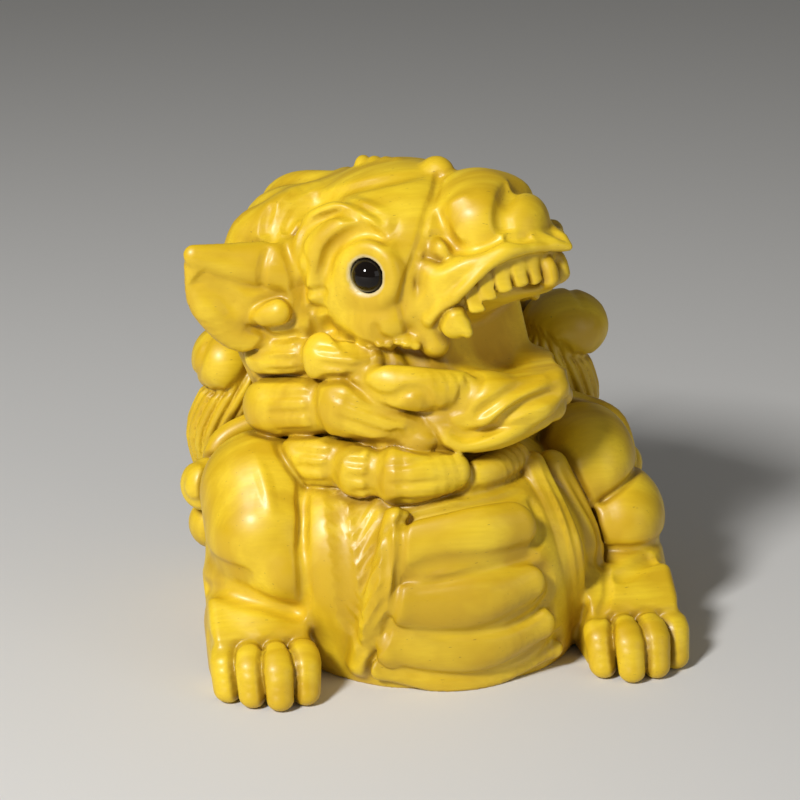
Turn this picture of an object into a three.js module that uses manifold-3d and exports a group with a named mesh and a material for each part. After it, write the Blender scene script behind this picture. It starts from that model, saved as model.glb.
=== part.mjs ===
// A seated pixiu carved from one block of boxwood, with two glass beads set in as eyes.
// Millimetres, +Z up. The figure faces -Y, and its own right side is at -X.
import * as THREE from "three";
import { mergeVertices } from "three/addons/utils/BufferGeometryUtils.js";
import Module from "manifold-3d";

// Driving dimensions
const FIGURE_HEIGHT = 52.8; // from the floor to the knob on the crown
const EYE_DIAMETER = 3.6; // of a glass bead
const EYE_CLEARANCE = 0.3; // between a bead and the socket drilled for it
const EYE_PROUD = 0.9; // how far a bead stands out of its eyelid ring
const HEAD_TURN = 52; // degrees, towards the figure's own left
const HEAD_LIFT = 15; // degrees, chin up
const HEAD_SHARE = 0.98; // size of the head against the size it is drawn at

// How finely the forms are faceted
const FACET = 3.2; // side of a facet on the large forms
const FINE = 2.3; // forms of a smaller radius are cut with few facets
const FINEST = 1.6; // and those below this radius with the fewest
const SHORTEST = 0.55; // edges shorter than this, left where forms join, are closed up

// The carving is drawn on a figure of this height, and grows with the real one.
const DRAWN_HEIGHT = 52.8;
const unit = FIGURE_HEIGHT / DRAWN_HEIGHT;

const wasm = await Module();
wasm.setup();

const radians = THREE.MathUtils.degToRad;
const RIGHT = 1;
const LEFT = -1;
const bothSides = (make) => [...make(RIGHT), ...make(LEFT)];

// Places on the body are x, y, z. Those drawn for one side are given as outward, y, z.
const point = (p) => new THREE.Vector3(...p).multiplyScalar(unit);
const onBody = (side) => ([out, y, z]) => [-side * out, y, z];

// Places on the head are forward, out to the side, up
const HEAD_MIDDLE = [-3.2, -3.4, 37.8];
const onHead = (side) => ([forward, out, up]) => [forward, -side * out, up];
const headMatrix = new THREE.Matrix4()
  .makeTranslation(...point(HEAD_MIDDLE))
  .multiply(new THREE.Matrix4().makeRotationZ(radians(HEAD_TURN - 90)))
  .multiply(new THREE.Matrix4().makeRotationY(radians(-HEAD_LIFT)))
  .multiply(new THREE.Matrix4().makeScale(HEAD_SHARE, HEAD_SHARE, HEAD_SHARE));

// A closed geometry as a solid that can be joined and cut
function solid(geometry) {
  const bare = new THREE.BufferGeometry();
  bare.setAttribute("position", geometry.getAttribute("position"));
  bare.setIndex(geometry.getIndex());
  const merged = mergeVertices(bare, 1e-4);
  return new wasm.Manifold(
    new wasm.Mesh({
      numProp: 3,
      vertProperties: new Float32Array(merged.getAttribute("position").array),
      triVerts: new Uint32Array(merged.getIndex().array),
    }),
  );
}

const join = (solids) => solids.reduce((whole, piece) => whole.add(piece));

// The solid with its very short edges closed up, and with solid wood in any pocket sealed inside.
// An edge is drawn together to its middle, but only where the surface stays closed and no facet
// beside it turns over.
function tidied(whole) {
  const { vertProperties, triVerts } = whole.getMesh();
  const places = [];
  for (let i = 0; i < vertProperties.length; i += 3) {
    places.push(new THREE.Vector3().fromArray(vertProperties, i));
  }
  const corners = [];
  for (let i = 0; i < triVerts.length; i += 3) {
    corners.push([...triVerts.subarray(i, i + 3)]);
  }
  const around = places.map(() => new Set());
  corners.forEach((trio, facet) => trio.forEach((vertex) => around[vertex].add(facet)));

  const normal = ([a, b, c]) => b.clone().sub(a).cross(c.clone().sub(a));
  const near = (vertex) => new Set([...around[vertex]].flatMap((facet) => corners[facet]));
  const shared = (a, b) => [...near(a)].filter((v) => v !== a && v !== b && near(b).has(v));

  function turnsOver(facet, a, b, middle) {
    const before = normal(corners[facet].map((v) => places[v]));
    const after = normal(corners[facet].map((v) => (v === a || v === b ? middle : places[v])));
    const steep = after.dot(before) < 0.5 * after.length() * before.length();
    return steep || after.length() < 1e-3;
  }

  function closeUp(a, b) {
    const middle = places[a].clone().lerp(places[b], 0.5);
    const lost = [...around[a]].filter((facet) => around[b].has(facet));
    const kept = [...around[a], ...around[b]].filter((facet) => !lost.includes(facet));
    const staysClosed = lost.length === 2 && shared(a, b).length === 2;
    if (!staysClosed || kept.some((facet) => turnsOver(facet, a, b, middle))) return;
    places[a] = middle;
    for (const facet of lost) {
      corners[facet].forEach((v) => around[v].delete(facet));
      corners[facet] = null;
    }
    for (const facet of around[b]) {
      corners[facet] = corners[facet].map((v) => (v === b ? a : v));
      around[a].add(facet);
    }
    around[b].clear();
  }

  for (const share of [0.25, 0.5, 0.75, 1]) {
    for (let facet = 0; facet < corners.length; facet++) {
      for (const from of [0, 1, 2]) {
        if (!corners[facet]) break;
        const a = corners[facet][from];
        const b = corners[facet][(from + 1) % 3];
        if (places[a].distanceTo(places[b]) < share * SHORTEST * unit) closeUp(a, b);
      }
    }
  }

  // The outer surface is what can be reached from its highest place.
  const used = corners.filter(Boolean).flat();
  const outside = new Set();
  const waiting = [used.reduce((top, v) => (places[v].z > places[top].z ? v : top))];
  while (waiting.length) {
    for (const facet of around[waiting.pop()]) {
      if (!outside.has(facet)) waiting.push(...corners[facet]);
      outside.add(facet);
    }
  }

  const geometry = new THREE.BufferGeometry().setFromPoints(places);
  geometry.setIndex([...outside].flatMap((facet) => corners[facet]));
  return solid(geometry);
}

// The number of facets that fit round or along a length
const facets = (length, least) => Math.max(least, Math.round(length / (FACET * unit)));

// An ellipsoid from its centre and half sizes
function ball(centre, halves) {
  const largest = Math.max(...halves);
  const geometry = largest < FINE
    ? new THREE.OctahedronGeometry(1, 1)
    : new THREE.IcosahedronGeometry(1, facets(largest * unit, 2) - 1);
  geometry.scale(...halves.map((half) => half * unit));
  return geometry.translate(...point(centre));
}

// A round-ended strand along a curve through the points, with radii shared out along it.
// It may be flattened: across is the direction squeezed, and share what is left of it there.
function strand(points, radii, flattened = { across: [0, 0, 1], share: 1 }) {
  const curve = new THREE.CatmullRomCurve3(points.map(point));
  const length = curve.getLength();
  const widest = Math.max(...radii);
  const steps = points.length === 2 ? 1 : facets(length / 1.5, points.length - 1);
  const sides = facets(2 * Math.PI * widest * unit, widest < FINEST ? 5 : 6);
  const geometry = new THREE.CapsuleGeometry(1, length, widest < FINE ? 1 : 2, sides, steps);
  const frames = curve.computeFrenetFrames(steps * 2);
  const across = new THREE.Vector3(...flattened.across).normalize();
  const place = geometry.getAttribute("position");
  const vertex = new THREE.Vector3();
  for (let i = 0; i < place.count; i++) {
    vertex.fromBufferAttribute(place, i);
    const along = THREE.MathUtils.clamp(vertex.y / length + 0.5, 0, 1);
    const beyond = vertex.y - (along - 0.5) * length;
    const span = along * (radii.length - 1);
    const before = Math.min(Math.floor(span), radii.length - 2);
    const radius = THREE.MathUtils.lerp(radii[before], radii[before + 1], span - before) * unit;
    const frame = Math.round(along * steps * 2);
    const offset = new THREE.Vector3()
      .addScaledVector(frames.normals[frame], vertex.x * radius)
      .addScaledVector(frames.binormals[frame], -vertex.z * radius)
      .addScaledVector(frames.tangents[frame], beyond * radius);
    offset.addScaledVector(across, (flattened.share - 1) * offset.dot(across));
    const centre = curve.getPoint(along).add(offset);
    place.setXYZ(i, centre.x, centre.y, centre.z);
  }
  return geometry;
}

// A five-sided peg from its root to its tip, with a radius at each
function peg(root, tip, wide, narrow) {
  const axis = point(tip).sub(point(root));
  const length = axis.length();
  const geometry = new THREE.CylinderGeometry(narrow * unit, wide * unit, length, 5);
  geometry.translate(0, length / 2, 0);
  geometry.applyQuaternion(
    new THREE.Quaternion().setFromUnitVectors(new THREE.Vector3(0, 1, 0), axis.normalize()),
  );
  return geometry.translate(...point(root));
}

// How far out the belly reaches at each height. It runs below the floor, which cuts it flat.
const BELLY_MIDDLE = [-0.4, -5.0, 0];
const BELLY_WIDEST = 17.2;
const BELLY_OUTLINE = [
  [0, -2],
  [14.6, -2],
  [16.4, 2.5],
  [BELLY_WIDEST, 8],
  [17.1, 13],
  [15.2, 18],
  [11, 22.4],
  [5, 25],
  [0, 25.4],
];

function belly() {
  const geometry = new THREE.LatheGeometry(
    BELLY_OUTLINE.map(([out, z]) => new THREE.Vector2(out * unit, z * unit)),
    facets(2 * Math.PI * BELLY_WIDEST * unit, 12),
  );
  geometry.rotateX(Math.PI / 2);
  return geometry.translate(...point(BELLY_MIDDLE));
}

// The place on the front of the belly at x and z, sunk into the wood by a depth
function onBelly(x, z, depth) {
  const above = BELLY_OUTLINE.findIndex(([, height]) => height > z);
  const [low, high] = [BELLY_OUTLINE[above - 1], BELLY_OUTLINE[above]];
  const out = THREE.MathUtils.mapLinear(z, low[1], high[1], low[0], high[0]) - depth;
  const aside = x - BELLY_MIDDLE[0];
  return [x, BELLY_MIDDLE[1] - Math.sqrt(out * out - aside * aside), z];
}

// The belly, the back, and the neck that carries the head
function torso() {
  const neck = strand([[-1, 4, 17], [-5, 5, 27], [-8, 2.5, 35]], [14.2, 10.2, 8.5]);
  return [belly(), ball([-1, 9, 15], [17, 15.5, 15]), neck];
}

// Five rolled plates down the middle of the belly: x and z from left to right, and a half height
function bellyPlates() {
  const plates = [
    [[-2.5, 20.6], [2.5, 20.8], [6.2, 21.2], 2.0],
    [[-3.4, 14.3], [1.5, 15.6], [5.8, 16.8], 2.6],
    [[-3.6, 9.2], [1.5, 9.8], [6.6, 11.2], 2.6],
    [[-4.6, 4.6], [1.5, 4.2], [8.6, 5.8], 2.5],
    [[-7.6, 1.2], [0.5, 0.2], [10.4, 1.2], 2.2],
  ];
  return plates.map(([left, middle, right, half]) =>
    strand(
      [left, middle, right].map(([x, z]) => onBelly(x, z, 0.4)),
      [half * 0.85, half, half],
      { across: [0, 1, 0], share: 0.75 },
    ),
  );
}

// The long folds that frame the plates: x and z from the chest down, a radius and a depth
function bellyFolds() {
  const folds = [
    [[-11, 19.6], [-12.2, 12.5], [-11, 4], 3.2, 1.6],
    [[-5.6, 19.2], [-7.0, 12], [-9.0, 2.6], 1.5, 0.4],
    [[8.4, 20.8], [11.4, 13], [12.4, 4.6], 1.7, 0.4],
    [[11.4, 19.4], [14.6, 11], [14.4, 2.4], 2.2, 0.6],
  ];
  return folds.map(([top, middle, low, radius, depth]) =>
    strand(
      [top, middle, low].map(([x, z]) => onBelly(x, z, depth)),
      [radius * 0.9, radius, radius * 0.9],
    ),
  );
}

// The right foreleg stands straighter and further forward than the left one.
function rightForeleg() {
  const at = onBody(RIGHT);
  const foldedSkin = [[17, -3.5, 24], [18.2, -11.8, 21], [16.2, -14.2, 13.5], [15.4, -14.4, 9]];
  return [
    ball(at([19.6, -5.8, 16.6]), [5.9, 8.4, 8.4]),
    ball(at([19.8, -8, 11.5]), [5.2, 7, 4.4]),
    strand([[20.3, -8.5, 10], [19.9, -12.5, 5.5], [19.5, -16.5, 3.6]].map(at), [5.6, 6.1, 4.9]),
    strand(foldedSkin.map(at), [1.2, 1.4, 1.3, 1]),
    strand([[16.6, 1.5, 23.5], [22.2, 1.2, 20.6], [24.2, 0, 15]].map(at), [1.1, 1.3, 0.9]),
    ball(at([24.2, -1.2, 16.9]), [2.9, 2.7, 2.9]),
    ball(at([23.4, 0.6, 11.8]), [2.6, 2.6, 2.8]),
    ...toes(at, [[23.4, -20.6], [21.0, -22.0], [18.4, -23.2], [15.7, -22.2]]),
  ];
}

function leftForeleg() {
  const at = onBody(LEFT);
  return [
    ball(at([16.8, -3.5, 18]), [5.4, 6.6, 6.2]),
    ball(at([20.0, -5.2, 12.2]), [5.2, 6.6, 5.8]),
    strand([[20, -6.5, 9], [20, -10.5, 4.6], [20, -14.5, 2.6]].map(at), [4.9, 4.9, 4.2]),
    strand([[15.6, 1.5, 23.5], [21.2, 1.2, 20.6], [23.2, 0, 15]].map(at), [1.1, 1.3, 0.9]),
    ball(at([22.2, 2.6, 15]), [2.9, 2.7, 2.9]),
    ball(at([21.8, 3.4, 10]), [2.6, 2.6, 2.8]),
    ...toes(at, [[14.6, -21.8], [17.5, -23.2], [20.6, -22.4], [23.4, -20.2]]),
  ];
}

// Toes that bend down to the floor. Each is given by where its tip stands: outward and y.
const PAW_MIDDLE = 20;
function toes(at, tips) {
  return tips.map(([out, y]) => {
    const knuckle = THREE.MathUtils.lerp(out, PAW_MIDDLE, 0.15);
    const bend = [[knuckle, y + 6.2, 3.2], [out, y + 1.8, 3.8], [out, y, 0.9]];
    return strand(bend.map(at), [1.6, 1.75, 1.4]);
  });
}

// A folded hind leg: haunch, foot and three toes
function hindLeg(side) {
  const at = onBody(side);
  const hindToes = [15.6, 18, 20.4].map((out) =>
    strand([[out, 2, 2.2], [out + 0.4, -3.4, 1.6]].map(at), [1.5, 1.4]),
  );
  const haunch = ball(at([14.2, 11.5, 9.5]), [8.3, 11, 10]);
  const foot = ball(at([17.5, 4.5, 3]), [4.4, 7.5, 3.4]);
  return [haunch, foot, ...hindToes];
}

// The collar of the mane: rolled curls round the nape, each over a lock of combed hair
function collar() {
  const curls = [
    [[-21.2, 6.5, 28.3], [3.6, 4.4, 3.8]],
    [[-15.4, 12.6, 29.6], [4.2, 3.8, 3.8]],
    [[-7.6, 16.2, 30.6], [4.4, 3.6, 3.8]],
    [[1.6, 16.6, 31], [4.6, 3.6, 3.8]],
    [[10.6, 13.2, 30.8], [4.4, 3.8, 3.8]],
    [[17.6, 7.5, 30.2], [4.4, 4.4, 3.8]],
  ];
  return curls.flatMap(([[x, y, z], halves]) => {
    const flare = (y - 4) * 0.2;
    const top = [x * 0.86, y - flare, z];
    const middle = [x * 1.036, y + flare * 1.2, z - 8];
    const end = [x * 1.06, y + flare * 1.6, z - 14];
    return [ball([x, y, z], halves), strand([top, middle, end], [3.6, 3.9, 2.0])];
  });
}

// Knobs down the spine, and a tail in three flames laid up the rump
function spineAndTail() {
  const knobs = [0, 1, 2].map((i) => ball([-1.2, 20.6 + i * 1.4, 25.6 - i * 3.8], [2.5, 2.2, 2.2]));
  const flames = [-1, 0, 1].map((k) => {
    const lower = Math.abs(k);
    const root = [k * 2 - 1, 21.5, 4];
    const bend = [k * 4.6 - 1, 24.4 - lower * 1.2, 10];
    const tip = [k * 7 - 1, 21.6 - lower * 2.4, 19 - lower * 3];
    return strand([root, bend, tip], [2.6, 3.1, 1.0]);
  });
  return [...knobs, ...flames];
}

// The eye mound, the cheek, and the side of the head behind them
function temples(side) {
  const at = onHead(side);
  return [
    ball(at([2.9, 7.9, 3.9]), [4.4, 3.8, 4.3]),
    ball(at([1.4, 8.9, -1.2]), [4.4, 2.6, 2.6]),
    ball(at([-9, 8.2, 0]), [4.5, 3.6, 6.5]),
  ];
}

const cranium = () => ball([0.2, 0, 3.4], [12.2, 11.6, 10.8]);

// Brow ridges, the band behind the eye, and the pointed tip of the cheek
function brows(side) {
  const at = onHead(side);
  const outer = [[-6.6, 10.1, 2], [-5.2, 10.1, 6.6], [-2.6, 9.3, 9.8], [1.4, 8.5, 10.7], [5.2, 8.4, 8.6]];
  const inner = [[-4, 9.5, 4], [-2, 9.7, 7.6], [1.4, 9.2, 8.9], [4.8, 8.7, 7.8]];
  return [
    strand(outer.map(at), [1.2, 1.3, 1.2, 1.1, 0.9]),
    strand(inner.map(at), [2.0, 2.1, 1.8, 1.4]),
    strand([[-6.4, 9.9, 6], [-6.7, 10.7, 2], [-6.2, 10.3, -1.6]].map(at), [1.2, 1.4, 1.3]),
    strand([[0.5, 9.4, -2.4], [4.8, 8.8, -3.6]].map(at), [1.8, 1.0]),
  ];
}

// A round knob and a small crest on the midline of the forehead
function crown() {
  return [ball([7.4, 0, 12.2], [1.7, 1.7, 1.7]), strand([[2.5, 0, 13], [-1.5, 0, 13.8]], [1.0, 1.3])];
}

// A leaf-shaped ear folded lengthwise, and the two nubs in front of its opening
function ear(side) {
  const at = onHead(side);
  const facing = at([0.5, 0.85, 0.15]);
  const upper = [[-6.6, 9.6, 6], [-10.2, 12.7, 7.2], [-13.4, 16.6, 9.8]];
  const lower = [[-13.6, 16.4, 9], [-13.6, 15.4, 4.6], [-12.4, 13.2, 0.6], [-10, 11.4, -0.4]];
  return [
    strand(upper.map(at), [3.8, 3.4, 0.9], { across: facing, share: 0.5 }),
    strand(lower.map(at), [0.8, 2.4, 2.0, 1.5], { across: facing, share: 0.55 }),
    strand([[-9.2, 12.2, 3.0], [-6.6, 11.8, 2.5]].map(at), [1.5, 1.6]),
    strand([[-9, 11.9, 0.7], [-6.5, 11.4, 0.2]].map(at), [1.3, 1.3]),
  ];
}

// Three rows of rolled beard locks swept back from the jaw: back end, front end and radius.
// The front lock of a row overlaps the one behind it.
function beardLocks(side) {
  const at = onHead(side);
  const locks = [
    [[-11.6, 11.2, -2.4], [-5, 11.2, -3.3], 2.1],
    [[-3.6, 10.4, -3.9], [0.5, 9.6, -3.7], 2.6],
    [[-12.2, 11.3, -7.8], [-6.5, 11.5, -8.5], 3.0],
    [[-5.0, 11.2, -8.7], [-1.5, 10.6, -9.3], 3.2],
    [[-0.2, 9.9, -10.2], [5, 8.7, -13.2], 2.6],
    [[-9.0, 10.6, -13.3], [-5, 10.6, -14.1], 2.3],
    [[-4, 10.2, -14.6], [-1, 9.6, -15.3], 2.4],
    [[0.2, 9, -15.7], [3.4, 7.9, -16.5], 2.6],
  ];
  return locks.map(([back, front, radius]) => strand([back, front].map(at), [radius, radius]));
}

// Hair combed back over the crown and down the nape
function backHair() {
  return [-2, -1, 0, 1, 2].map((k) => {
    const fall = Math.abs(k);
    const crest = [[-4, 2.4 * k, 12.2 - fall], [-11.4, 3.7 * k, 11.2 - fall]];
    const nape = [[-13.6, 4.1 * k, 1], [-11.6, 4.4 * k, -11]];
    return strand([...crest, ...nape], [1.6, 3.0, 3.0, 2.2]);
  });
}

// The muzzle and the nose, before the mouth is cut
function muzzle() {
  return [
    ball([8.0, 0, 1.2], [10.8, 8.4, 4.5]),
    ball([8.8, 0, 5.4], [7.6, 6.6, 4.9]),
    ball([15.2, 0, 5.5], [2.5, 3, 3.0]),
  ];
}

// A wing of the nose, and the curl behind the nostril
function nostrils(side) {
  const at = onHead(side);
  return [
    ball(at([12.2, 3.0, 5.8]), [3.8, 3.6, 3.7]),
    strand([[8.0, 7.2, 4.2], [9.4, 7.4, 5.2], [11.4, 6.4, 4.4]].map(at), [1.0, 1.2, 1.0]),
  ];
}

// The lower jaw and the throat, before the mouth is cut
function jaw() {
  return [ball([4.6, 0, -11.2], [11.4, 9.4, 5.6]), ball([-2, 0, -8], [10, 9.5, 8])];
}

// A block with the given outline in forward and up, right across the head
function acrossHead(outline) {
  const corners = outline.map(([forward, up]) => new THREE.Vector2(forward * unit, up * unit));
  const width = 40 * unit;
  const block = new THREE.ExtrudeGeometry(new THREE.Shape(corners), { depth: width, bevelEnabled: false });
  block.translate(0, 0, -width / 2);
  return block.rotateX(Math.PI / 2);
}

// What is cut away in front of the forehead and cheek, so that they step down to the snout
function frontOfFace() {
  return acrossHead([[9.6, 16], [9.7, 6.6], [7.7, 3.7], [5.0, -2.4], [6.0, -5], [20, -5], [20, 16]]);
}

// The open mouth: a wedge from the corners of the lips forward, and the throat behind it
function mouth() {
  const roof = [[5.2, -6.6], [7.8, -4.4], [12, -1.4], [15, -0.8], [26, -1.0]];
  const bottom = [[26, -11.4], [16, -10.6], [10, -9.6], [6.4, -8.2]];
  return [acrossHead([...roof, ...bottom]), ball([9.5, 0, -6], [6.6, 6.2, 4])];
}

function tongue() {
  const middle = [[3, 0, -10], [8, 0, -9.6], [12.5, 0, -11.2]];
  return strand(middle, [4.5, 4.4, 3], { across: [0, 0, 1], share: 0.6 });
}

// The upper lip, the curled edge and the roll of the lower lip, and the gum at the corner
function lips(side) {
  const at = onHead(side);
  const upper = [[5.6, 8.4, -1.6], [9.8, 8.2, 1.0], [13.4, 6.8, 2.2], [17, 3.8, 2.2], [20.3, 0.2, 1.8]];
  const rim = [[-0.2, 8.8, -6.2], [5.4, 8.9, -8.2], [7.4, 8.1, -12]];
  const curled = [...rim, [10.6, 6.4, -13.6], [15.9, 0.2, -12.9]];
  const roll = [[4.6, 8.6, -11], [6.6, 7.8, -14.6], [10.6, 5, -15.6], [14.8, 0.2, -15]];
  return [
    strand(upper.map(at), [1.7, 1.4, 1.3, 1.1, 0.5]),
    strand(curled.map(at), [1.7, 1.4, 1.0, 1.0, 1.1]),
    strand(roll.map(at), [1.4, 1.6, 1.6, 1.4]),
    ball(at([6.8, 7.6, -3.9]), [2.4, 1.7, 2.3]),
  ];
}

// A row of upper teeth on an arc, then the upper fang, the lower canine and the front tooth
function teeth(side) {
  const at = onHead(side);
  const row = [14, 29, 44, 59, 74].map((degrees) => {
    const forward = 11.2 + 7.0 * Math.sin(radians(degrees));
    const out = 7.2 * Math.cos(radians(degrees));
    const root = 1.2 + Math.sin(radians(degrees * 1.6));
    return peg(at([forward, out, root]), at([forward, out, root - 3.4]), 1.1, 0.8);
  });
  return [
    ...row,
    peg(at([10.4, 7.4, 0.6]), at([11.7, 7.7, -5.4]), 2.0, 0.4),
    peg(at([9.2, 5.8, -11]), at([9.7, 5.7, -7.8]), 1.2, 0.4),
    peg(at([18.2, 1.2, 2]), at([18.6, 1.3, -2.2]), 1.3, 1.0),
  ];
}

// A sphere where a bead sits: in the eye mound, standing EYE_PROUD out of the lid ring
const LID_RING = [2.9, 11.5, 3.9];
function eyeball(side, radius) {
  const [forward, out, up] = LID_RING;
  const sunk = (EYE_DIAMETER / 2 - EYE_PROUD) / unit;
  const centre = point(onHead(side)([forward, out - sunk, up])).applyMatrix4(headMatrix);
  return new THREE.SphereGeometry(radius, 12, 8).translate(centre.x, centre.y, centre.z);
}

const bead = (side) => eyeball(side, EYE_DIAMETER / 2);
const socket = (side) => [eyeball(side, EYE_DIAMETER / 2 + EYE_CLEARANCE)];

function carve() {
  const onTheHead = (geometry) => solid(geometry.applyMatrix4(headMatrix));
  const ofHead = (geometries) => join(geometries.map(onTheHead));
  const ofBody = (geometries) => join(geometries.map(solid));

  const face = ofHead([cranium(), ...bothSides(temples)]).subtract(ofHead([frontOfFace()]));
  const head = face
    .add(ofHead([...muzzle(), ...bothSides(nostrils), ...jaw(), ...backHair()]))
    .subtract(ofHead(mouth()))
    .add(ofHead([...crown(), ...bothSides(brows), ...bothSides(ear), ...bothSides(beardLocks)]))
    .add(ofHead([tongue(), ...bothSides(lips), ...bothSides(teeth)]));

  const trunk = ofBody([...torso(), ...bellyPlates(), ...bellyFolds(), ...collar(), ...spineAndTail()]);
  const legs = ofBody([...rightForeleg(), ...leftForeleg(), ...bothSides(hindLeg)]);

  const deep = 20 * unit;
  const wide = 120 * unit;
  const underFloor = new THREE.BoxGeometry(wide, wide, deep).translate(0, 0, -deep / 2);
  return tidied(trunk.add(legs).add(head))
    .subtract(solid(underFloor))
    .subtract(ofBody(bothSides(socket)));
}

function geometryOf(manifold) {
  const { vertProperties, triVerts } = manifold.getMesh();
  return new THREE.BufferGeometry()
    .setAttribute("position", new THREE.BufferAttribute(vertProperties, 3))
    .setIndex(new THREE.BufferAttribute(triVerts, 1));
}

const boxwood = new THREE.MeshStandardMaterial({ color: 0xd9ae26, roughness: 0.42, metalness: 0 });
const blackGlass = new THREE.MeshStandardMaterial({ color: 0x0a0806, roughness: 0.06, metalness: 0 });
const carving = geometryOf(carve());

// The origin is in the middle of the footprint, on the floor.
carving.computeBoundingBox();
const middle = carving.boundingBox.getCenter(new THREE.Vector3());
const pixiu = new THREE.Group();
for (const [name, geometry, material] of [
  ["carved_figure", carving, boxwood],
  ["right_eye", bead(RIGHT), blackGlass],
  ["left_eye", bead(LEFT), blackGlass],
]) {
  const mesh = new THREE.Mesh(geometry.translate(-middle.x, -middle.y, 0), material);
  mesh.name = name;
  pixiu.add(mesh);
}

export default pixiu;
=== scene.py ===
"""A small boxwood pixiu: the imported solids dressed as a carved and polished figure.

The carving is modelled as clay is: a block of signed distances, to which rounded forms are
added and from which others are cut, and in which lines are then scored. The block's surface
becomes the figure's mesh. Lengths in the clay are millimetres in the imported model's frame.
"""

import math

import bpy
import numpy as np
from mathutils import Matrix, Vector


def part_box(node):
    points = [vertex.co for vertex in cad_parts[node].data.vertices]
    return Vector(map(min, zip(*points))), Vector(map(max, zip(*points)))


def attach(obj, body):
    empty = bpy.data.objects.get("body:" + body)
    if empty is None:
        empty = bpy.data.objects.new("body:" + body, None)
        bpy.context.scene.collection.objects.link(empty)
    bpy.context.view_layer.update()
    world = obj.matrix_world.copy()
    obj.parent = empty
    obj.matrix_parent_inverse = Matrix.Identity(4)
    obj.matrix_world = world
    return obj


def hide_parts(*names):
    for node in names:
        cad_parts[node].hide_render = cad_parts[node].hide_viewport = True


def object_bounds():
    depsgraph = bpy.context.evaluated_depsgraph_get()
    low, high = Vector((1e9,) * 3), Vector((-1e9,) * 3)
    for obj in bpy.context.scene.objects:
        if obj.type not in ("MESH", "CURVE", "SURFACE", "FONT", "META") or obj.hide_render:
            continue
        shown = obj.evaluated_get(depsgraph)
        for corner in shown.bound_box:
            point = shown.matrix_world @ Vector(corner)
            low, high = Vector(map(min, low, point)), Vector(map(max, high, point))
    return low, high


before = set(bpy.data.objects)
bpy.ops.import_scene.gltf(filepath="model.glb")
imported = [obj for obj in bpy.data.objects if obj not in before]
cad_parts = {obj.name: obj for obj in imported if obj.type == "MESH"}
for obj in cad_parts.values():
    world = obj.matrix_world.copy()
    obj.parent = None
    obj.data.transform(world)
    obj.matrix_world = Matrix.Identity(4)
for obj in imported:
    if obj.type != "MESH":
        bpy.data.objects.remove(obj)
cad_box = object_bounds()

# Sizes
MM = 0.001
STEP = 0.2  # between the clay's distances
REACH = 2.5  # how far from a form its distances are worked out
ROOM = 1.2  # left round the solids' box in the block of clay
SEAM_WIDTH = 0.45  # of the line carved where one form meets another
HALF_HEAD = 16  # what a block right across the head reaches to each side
TRIANGLES = 196000  # the most that the figure's mesh keeps

# Where the camera stood: how far round to the figure's right and above it, and how far off
CAMERA_ROUND = math.radians(10)
CAMERA_ABOVE = math.radians(18)
CAMERA_AWAY = 230.0
CAMERA_AIM = np.array([-4.75, -16.966, 30.0])
SENSOR = 36.0
PICTURE_WIDE = 80.0  # the width that the picture takes in at the distance of the aim
PICTURE_PIXELS = 800
SEARCH_BEFORE = 45  # how far in front of the aim a line of sight starts to look for the figure
SEARCH_LENGTH = 100

# Lines of the head as the picture shows them, in its pixels
FACE_EDGE = [
    (438, 176), (435, 192), (427, 212), (421, 238), (412, 264),
    (403, 288), (402, 305), (406, 325), (415, 343),
]
DOME_FOLD = [(290, 213), (320, 201), (354, 188), (389, 180), (430, 172)]
BROW_RIM = [(286, 238), (297, 226), (312, 214), (332, 207), (349, 207), (368, 216), (382, 230), (395, 250)]
ABOVE_BROW = [(x - 3, y - 7) for x, y in BROW_RIM]
BROW_HOLLOW = [(299, 243), (304, 231), (316, 221), (333, 215), (349, 216), (364, 224)]
EYE_FOLD = [(328, 284), (329, 255), (337, 243), (350, 234), (366, 230), (379, 235), (391, 246)]
BAND_BACK = [(282, 240), (290, 258), (296, 280), (298, 305), (295, 328)]
BAND_FRONT = [(300, 243), (304, 264), (303, 290), (302, 312), (304, 333)]
TEMPLE_STEPS = [[(304, 289), (328, 291)], [(303, 311), (329, 311)]]
POUCH_FOLD = [(328, 313), (332, 330), (343, 342), (357, 348), (374, 346)]
CHEEK_FOLD = [(375, 322), (378, 335), (390, 344), (411, 352)]
CHEEK_LOW = [(338, 346), (356, 354), (376, 354)]
ROUGH_EDGE = [(371, 346), (380, 344), (389, 344), (398, 342), (407, 344), (416, 346)]
HAIR_PARTINGS = [
    [(265, 237), (267, 220), (273, 203)],
    [(270, 242), (275, 227), (283, 208), (297, 193), (313, 183)],
    [(283, 234), (290, 216), (303, 201), (322, 192)],
]
NOSE_UNDER = [(437, 208), (443, 226), (450, 240), (459, 248), (472, 250), (490, 244), (503, 238)]
NOSE_FOLD = [(447, 208), (456, 200), (473, 195)]
NOSTRIL = [(513, 187), (505, 200), (502, 216), (506, 233)]
WING_UNDER = [(504, 236), (518, 240), (532, 236)]
SNOUT_RIDGE = [(424, 284), (445, 274), (470, 262), (490, 253), (507, 248), (530, 246)]
LEAF_LOW = [(361, 371), (366, 388), (378, 397), (394, 398), (408, 391), (421, 392), (429, 402), (433, 420)]
LIP_UPPER = [(447, 421), (466, 427), (486, 420), (505, 405), (525, 393), (547, 383), (563, 375)]
RIM_HOLLOW = [(474, 417), (495, 404), (520, 388), (545, 377)]
LIP_GROOVE = [(450, 431), (466, 436), (486, 429), (508, 414), (530, 402), (561, 391)]
LIP_LOWER = [(437, 428), (447, 440), (466, 446), (492, 442), (520, 428), (543, 415), (560, 403)]
EAR_FOLD = [(270, 246), (264, 260), (262, 276), (262, 292)]
EAR_HOLLOW = [(194, 277), (207, 288), (222, 297), (236, 309), (251, 320)]
NUB_FOLD = [(254, 320), (262, 330), (273, 336), (291, 336)]

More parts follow.
